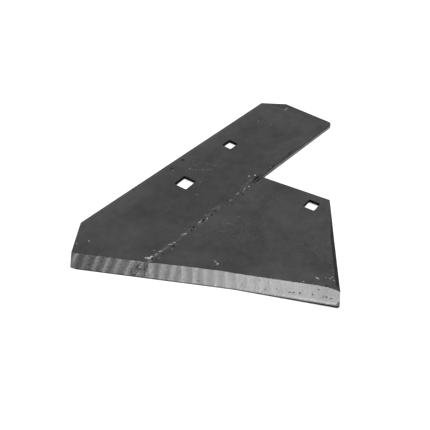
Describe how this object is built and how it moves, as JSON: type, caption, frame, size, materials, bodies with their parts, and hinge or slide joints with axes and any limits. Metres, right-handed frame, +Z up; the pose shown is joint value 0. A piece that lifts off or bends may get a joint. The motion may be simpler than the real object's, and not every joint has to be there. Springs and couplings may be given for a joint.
{
  "type": "plough share",
  "caption": "Flat plough share: a long bar with a wing plate butt-welded along one edge, square bolt holes and a cutting bevel ground along the front.",
  "frame": {"origin": "middle of the share's overall box, on its flat underside", "axes": "+X along the bar from the pointed tip to the far end, +Y from the wing towards the bar's long outer edge, +Z up out of the top face with the bevel and the weld"},
  "size_m": [0.3638, 0.2762, 0.0055],
  "materials": {
    "scaled_plate": "dark mill scale on hot-rolled steel, ground bright along the bevel",
    "weld_metal": "as welded, darkened, with bare bright high spots"
  },
  "bodies": {
    "root": {"bar_plate": "scaled_plate", "wing_plate": "scaled_plate", "weld_seam": "weld_metal"}
  },
  "joints": []
}
